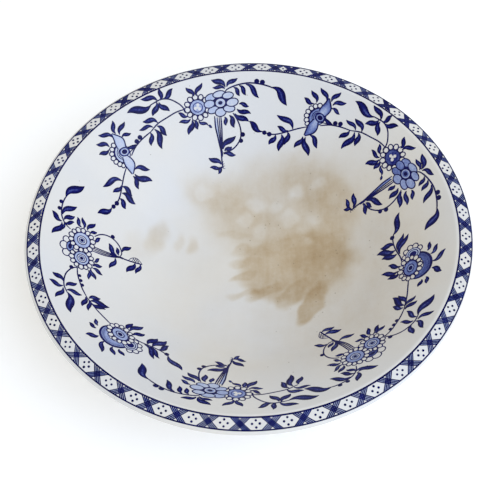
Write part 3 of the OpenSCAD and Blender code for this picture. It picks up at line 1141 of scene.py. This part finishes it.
def wing(flowers, lines, leading, trailing):
    """A wing as the straight span between two edge curves, outlined, and darker towards its edges and tip."""
    one = np.stack(smooth_path(np.array(leading, float), 0.9), 1)
    two = np.stack(smooth_path(np.array(trailing, float), 0.9), 1)
    t = np.linspace(0, 1, 12)
    pick = lambda path: np.stack([np.interp(t, np.linspace(0, 1, len(path)), path[:, i]) for i in (0, 1)], 1)
    one, two = pick(one), pick(two)
    share = np.linspace(0, 1, 8)[None, :, None]
    span = one[:, None] * (1 - share) + two[:, None] * share
    side = np.abs(2 * share[:, :, 0] - 1) ** 2
    tone = 0.2 + 0.22 * t[:, None] ** 2 + 0.16 * side
    flowers.add(span[None, :, :, 0], span[None, :, :, 1], tone[None], 4)
    lines.line(0.8, leading, 5, 0.95, 0.9, 0.8)
    lines.line(0.8, trailing, 5, 0.95, 0.9, 0.8)


def twin_sheet():
    """Two daisies over a half hidden one, with stems and leaves, and a large rose daisy."""
    leaves, flowers, lines = Sheet(), Sheet(), Sheet()
    leaves.leaves(TWIN_LEAVES, 4)
    leaves.leaves(ROSE_LEAVES, 4)
    for width, points in TWIN_STEMS + ROSE_STEMS:
        lines.line(width, points, 3)
    lines.discs(TWIN_BERRIES + ROSE_BERRIES, 4, 0.97)

    # half hidden daisy at the back
    petals(flowers, [(-12.3, 9.1, 2.5, 2.4, 0), (-3.2, 9.9, 2.3, 2.1, 0)], 0)
    petals(flowers, [(-7.7, 11, 2.8, 2.5, 0)], 1)
    eye(flowers, -7.2, 7.2, [(2.5, 0.94), (1.9, 0.55), (1.2, 0.98)], 2, 1.6)

    # twin daisies
    rings = [(3.3, 0.9), (2.7, 0.15), (2.1, 0.8), (1.6, 0.3), (1.15, 0.98)]
    first = around(-13, -0.7, 6.4, 6.4, 13, 1.46, start=14, wobble=0.08)
    petals(flowers, first[first[:, 0] < -8], 5)
    petals(flowers, around(0, 0.2, 7, 7, 14, 1.48, wobble=0.08), 6)
    eye(flowers, -13, -0.7, [(5, 0.94), (4.3, 0.36)] + rings, 7)
    eye(flowers, 0, 0.2, [(5.7, 0.94), (5, 0.36)] + rings, 7)

    # rose daisy: a thick crescent on its rim side, a ring of petals and oval rings
    rose_u, rose_v = -67.8, -22.3
    a = np.radians(np.linspace(30, 236, 28))[None, :, None]
    share = np.linspace(0, 1, 5)[None, None]
    swell = np.sin((a - a[:, :1]) / (a[:, -1:] - a[:, :1]) * np.pi) ** 0.5
    for inner, outer, ink, layer in ((5.2, 8.5 + 2.7 * swell, 0.93, 0), (5.6, 7.8 + 1.9 * swell, 0.5, 1)):
        radius = inner + (outer - inner) * share
        flowers.add(rose_u + radius * np.cos(a), rose_v + radius * np.sin(a), ink + 0 * radius, layer)
    for k in np.linspace(42, 228, 40):
        c, s = math.cos(math.radians(k)), math.sin(math.radians(k))
        far = 9.9 - 1.4 * abs(k - 135) / 95
        hatch = [(rose_u + out * c, rose_v + out * s) for out in (far - 1.6, far)]
        lines.line(0.32, hatch, 2, 0.85, 0.8, 0.8)
    petals(flowers, [(-79.2, -28.6, 1.8, 1.7, 200), (-79, -32.2, 1.9, 1.8, 215),
                     (-76.6, -34.6, 1.8, 1.8, 250), (-73.1, -35, 1.8, 1.7, 275),
                     (-69.9, -33.4, 1.7, 1.6, 300)], 1)
    eye(flowers, -74, -29.8, [(4.4, 0.9), (3.8, 0.2), (3.2, 0.9), (2.6, 0.26), (2, 0.9)], 2, 1.15, -30)
    petals(flowers, around(-65.6, -24.5, 7.6, 6.3, 14, 1.46, turn=35, wobble=0.1), 5)
    eye(flowers, -65.8, -24.3, [(4.7, 0.94), (4, 0.42), (2.5, 0.88), (1.9, 0.34), (1.3, 0.96)], 6, 1.25, 36)
    return leaves, flowers, lines


def band_sheets(prints):
    """The rim band in millimetres: lozenge reserves with four spots, and crossed bars between them.

    u runs clockwise from the first lozenge and v runs outwards from the middle of the band. The
    turn left over after the last full lozenge holds one narrow lozenge with a single spot.
    """
    bars, edges, spots = Sheet(), Sheet(), Sheet()
    whole = 2 * math.pi / prints.lozenge_pitch * BAND_PITCH
    slots = np.arange(prints.lozenges) * BAND_PITCH
    joints = np.append(slots + BAND_PITCH / 2, whole - BAND_PITCH / 2)
    chance = np.random.default_rng(7)
    t = np.linspace(BAND_REACH, -BAND_REACH, 6)[None, :, None]
    at = joints[:, None, None]
    # the bars' ink is made stronger towards the far side and weaker on the near side
    far_side_extra = 0.12 * np.cos(prints.first_lozenge - joints / whole * 2 * math.pi - math.radians(75))
    for lean, layer in ((1, 0), (-1, 1)):
        tone = np.where(chance.random(len(joints)) < 0.35, 0.62, 0.38) + far_side_extra
        tone += chance.normal(0, 0.03, len(joints))
        side = np.linspace(-1.8, 1.8, 3)[None, None]
        bars.add(at + lean * (side - t), t + 0 * at, tone[:, None, None] + 0 * (at + side - t), layer)
        for x in (-1.8, -0.6, 0.6, 1.8):
            half = 0.42 + 0.05 * chance.random(len(joints))[:, None, None]
            side = np.array([-1.0, 1.0])[None, None] * half
            bars.add(at + lean * (x + side - t), t + 0 * at, 0.96, 3)
    g = np.linspace(-1, 1, 4)
    a, b = g[None, :, None], g[None, None]
    bars.add(at + 0.95 * (a + b), 0.95 * (a - b) + 0 * at, 0.6, 2)
    steps = np.arange(360) / 360 * whole
    for v, half in ((3.68, 0.4), (-3.58, 0.5)):
        side = np.array([-1.0, 1.0])[None, None] * half
        edges.add(steps[None, :, None] + 0 * side, v + side + 0 * steps[None, :, None], 0.98, 4, closed=True)
    spread = 1.95
    places = np.concatenate([
        np.stack([slots + spread, 0 * slots], 1), np.stack([slots - spread, 0 * slots], 1),
        np.stack([slots, 0 * slots + spread], 1), np.stack([slots, 0 * slots - spread], 1),
        [[(slots[-1] + whole) / 2, 0]]])
    places += chance.normal(0, 0.07, places.shape)
    sizes = 0.66 + chance.normal(0, 0.05, len(places))
    spots.discs(np.column_stack([places, sizes]), 3, 0.96)
    return bars, edges, spots


def lay_spray(context, name, sheets, azimuth, down, turn, stretch, wash):
    """The three layers of one spray: leaves, flowers and line work.

    Ink values from 0.1 to 0.7 are washes, and are multiplied by how strongly they printed.
    """
    shape, prints, finish = context.scene.bowl_shape, context.scene.bowl_prints, context.scene.bowl_finish
    rolling = lambda u, v: rolled(shape, u * (1 + stretch), v, azimuth, down, turn)
    flowers = sheets[1]
    washed = lambda ink: np.where((ink > 0.1) & (ink < 0.7), np.minimum(ink * wash, 0.75), ink)
    flowers.blocks = [(u, v, washed(ink), layer, closed) for u, v, ink, layer, closed in flowers.blocks]
    for layer, sheet, grain in zip(("leaves", "flowers", "lines"), sheets, (0.35, 0.3, 0.3)):
        inked = bpy.data.materials.get("Cobalt " + layer) or ink_material("Cobalt " + layer, finish, grain)
        lay(name + "_" + layer, sheet, rolling, shape, prints, inked, [name + "_print"])


# Where each spray lies: its name, the azimuth of the sheet's zero in degrees and how far that lies
# down from the crest in millimetres, the sheet's turn in degrees, how much the damp paper stretched
# along its length as a share, and how strongly its washes printed
FLOWER_PLACES = [
    ("spray_right", 31, 18.5, -0.5, -0.01, 1.8),
    ("spray_far", 106, 19, 0, 0.01, 0.9),
]
SHORT_FLOWER_PLACE = ("spray_near_left", -95.5, 23.5, 0, 0.03, 1.2)
TWIN_PLACES = [
    ("spray_left", 177.5, 26.5, 0, 0, 0.9),
    ("spray_near_right", -54.5, 28, -2, 0.02, 1.3),
]


class BOWL_OT_rim_band(bpy.types.Operator):
    """Print the rim band: its edge lines, crossed bars and spots"""
    bl_idname = "bowl.rim_band"
    bl_label = "Rim Band Print"

    def execute(self, context):
        shape, prints, finish = context.scene.bowl_shape, context.scene.bowl_prints, context.scene.bowl_finish
        inked = ink_material("Cobalt band", finish, 0.3)
        radius = BAND_PITCH * MM / prints.lozenge_pitch
        middle, squeeze = 4.55, 0.96

        def rolling(u, v):
            """The strip lies a little off centre: its shifts inwards and along are slow waves."""
            azimuth = prints.first_lozenge - u * MM / radius
            along = 1.5 * np.cos(azimuth - math.radians(200)) + 0.2
            inwards = 0.6 * np.cos(azimuth - math.radians(147)) + 0.55
            return azimuth + along * MM / radius, (inwards - middle - squeeze * v) * MM

        for name, sheet in zip(("rim_band_bars", "rim_band_edges", "rim_band_spots"), band_sheets(prints)):
            lay(name, sheet, rolling, shape, prints, inked, ["rim_band_print"])
        return {"FINISHED"}


class BOWL_OT_flower_sprays(bpy.types.Operator):
    """Print the sprays with the oval flower, two of them with the bird"""
    bl_idname = "bowl.flower_sprays"
    bl_label = "Flower Sprays"

    def execute(self, context):
        for name, *place in FLOWER_PLACES:
            lay_spray(context, name, flower_sheet(True), *place)
        name, *place = SHORT_FLOWER_PLACE
        lay_spray(context, name, flower_sheet(False), *place)
        return {"FINISHED"}


class BOWL_OT_twin_sprays(bpy.types.Operator):
    """Print the sprays with the twin daisies and the rose daisy"""
    bl_idname = "bowl.twin_sprays"
    bl_label = "Twin Daisy Sprays"

    def execute(self, context):
        for name, *place in TWIN_PLACES:
            lay_spray(context, name, twin_sheet(), *place)
        return {"FINISHED"}


class BOWL_OT_stage(bpy.types.Operator):
    """Set out the floor, the lights and the camera"""
    bl_idname = "bowl.stage"
    bl_label = "Stage"

    def execute(self, context):
        scene = context.scene
        made, w, shader = new_material("Pale floor")
        shade = w.ramp(w.noise(w.place(), 3, 2), 0.2, 0.8)
        w.feed(shader.inputs["Base Color"], w.blend(shade, (0.93, 0.93, 0.93), (0.95, 0.95, 0.95)))
        shader.inputs["Roughness"].default_value = 0.9
        shader.inputs["Emission Color"].default_value = (1, 1, 1, 1)
        shader.inputs["Emission Strength"].default_value = 0.16
        mesh = bpy.data.meshes.new("floor")
        reach = 6.0
        mesh.from_pydata([(-reach, -reach, 0), (reach, -reach, 0), (reach, reach, 0), (-reach, reach, 0)],
                         [], [(0, 1, 2, 3)])
        mesh.materials.append(made)
        floor = bpy.data.objects.new("floor", mesh)
        scene.collection.objects.link(floor)

        world = bpy.data.worlds.new("Studio")
        world.use_nodes = True
        world.node_tree.nodes["Background"].inputs["Color"].default_value = (1.0, 0.98, 0.91, 1)
        world.node_tree.nodes["Background"].inputs["Strength"].default_value = 0.66
        scene.world = world

        def softbox(name, place, aim, size, power, tint):
            lamp = bpy.data.lights.new(name, "AREA")
            lamp.shape = "DISK"
            lamp.size = size
            lamp.energy = power
            lamp.color = tint
            made = bpy.data.objects.new(name, lamp)
            made.location = place
            made.rotation_euler = (Vector(aim) - Vector(place)).to_track_quat("-Z", "Y").to_euler()
            scene.collection.objects.link(made)

        softbox("key", (1.6, -1.1, 2.1), (0, 0, 0.03), 3.6, 69.0, (0.66, 0.785, 1.0))
        softbox("fill", (-1.6, 1.3, 1.6), (0, 0, 0.03), 2.0, 2.5, (1.0, 0.97, 0.9))
        scene.view_settings.view_transform = "Standard"

        elevation, distance = math.radians(55), 0.6416
        pan, tilt, roll = math.radians(-0.056), math.radians(1.16), math.radians(2)
        aim = Vector((0, 0, 55.1 * MM))
        side = Vector((1, 0, 0))
        ahead = Vector((0, math.cos(elevation), -math.sin(elevation)))
        upward = side.cross(ahead)
        place = aim - distance * ahead
        side_1 = side * math.cos(pan) + ahead * math.sin(pan)
        ahead_1 = ahead * math.cos(pan) - side * math.sin(pan)
        up_1 = upward * math.cos(tilt) + ahead_1 * math.sin(tilt)
        ahead_2 = ahead_1 * math.cos(tilt) - upward * math.sin(tilt)
        side_2 = side_1 * math.cos(roll) - up_1 * math.sin(roll)
        up_2 = side_1 * math.sin(roll) + up_1 * math.cos(roll)
        turn = Matrix((side_2, up_2, -ahead_2)).transposed().to_4x4()
        view = bpy.data.cameras.new("camera")
        view.sensor_width = 36
        view.lens = 81.25
        view.clip_start = 0.01
        camera = bpy.data.objects.new("camera", view)
        camera.matrix_world = Matrix.Translation(place) @ turn
        scene.collection.objects.link(camera)
        scene.camera = camera
        return {"FINISHED"}


class BOWL_PT_panel(bpy.types.Panel):
    """Lists the steps that make the bowl"""
    bl_label = "Serving Bowl"
    bl_idname = "BOWL_PT_panel"
    bl_space_type = "VIEW_3D"
    bl_region_type = "UI"
    bl_category = "Bowl"

    def draw(self, context):
        for step in STEPS:
            self.layout.operator(step.bl_idname)
        for group in (context.scene.bowl_shape, context.scene.bowl_prints, context.scene.bowl_finish):
            box = self.layout.box()
            for name in group.__annotations__:
                box.prop(group, name)


STEPS = [BOWL_OT_glazed_body, BOWL_OT_bare_foot, BOWL_OT_rim_band, BOWL_OT_flower_sprays,
         BOWL_OT_twin_sprays, BOWL_OT_stage]
CLASSES = [BowlShape, PrintShape, BowlFinish, *STEPS, BOWL_PT_panel]


def register():
    for each in CLASSES:
        bpy.utils.register_class(each)
    bpy.types.Scene.bowl_shape = bpy.props.PointerProperty(type=BowlShape)
    bpy.types.Scene.bowl_prints = bpy.props.PointerProperty(type=PrintShape)
    bpy.types.Scene.bowl_finish = bpy.props.PointerProperty(type=BowlFinish)


def unregister():
    del bpy.types.Scene.bowl_finish
    del bpy.types.Scene.bowl_prints
    del bpy.types.Scene.bowl_shape
    for each in reversed(CLASSES):
        bpy.utils.unregister_class(each)


def main():
    register()
    bpy.ops.bowl.glazed_body()
    bpy.ops.bowl.bare_foot()
    bpy.ops.bowl.rim_band()
    bpy.ops.bowl.flower_sprays()
    bpy.ops.bowl.twin_sprays()
    bpy.ops.bowl.stage()


if __name__ == "__main__":
    main()
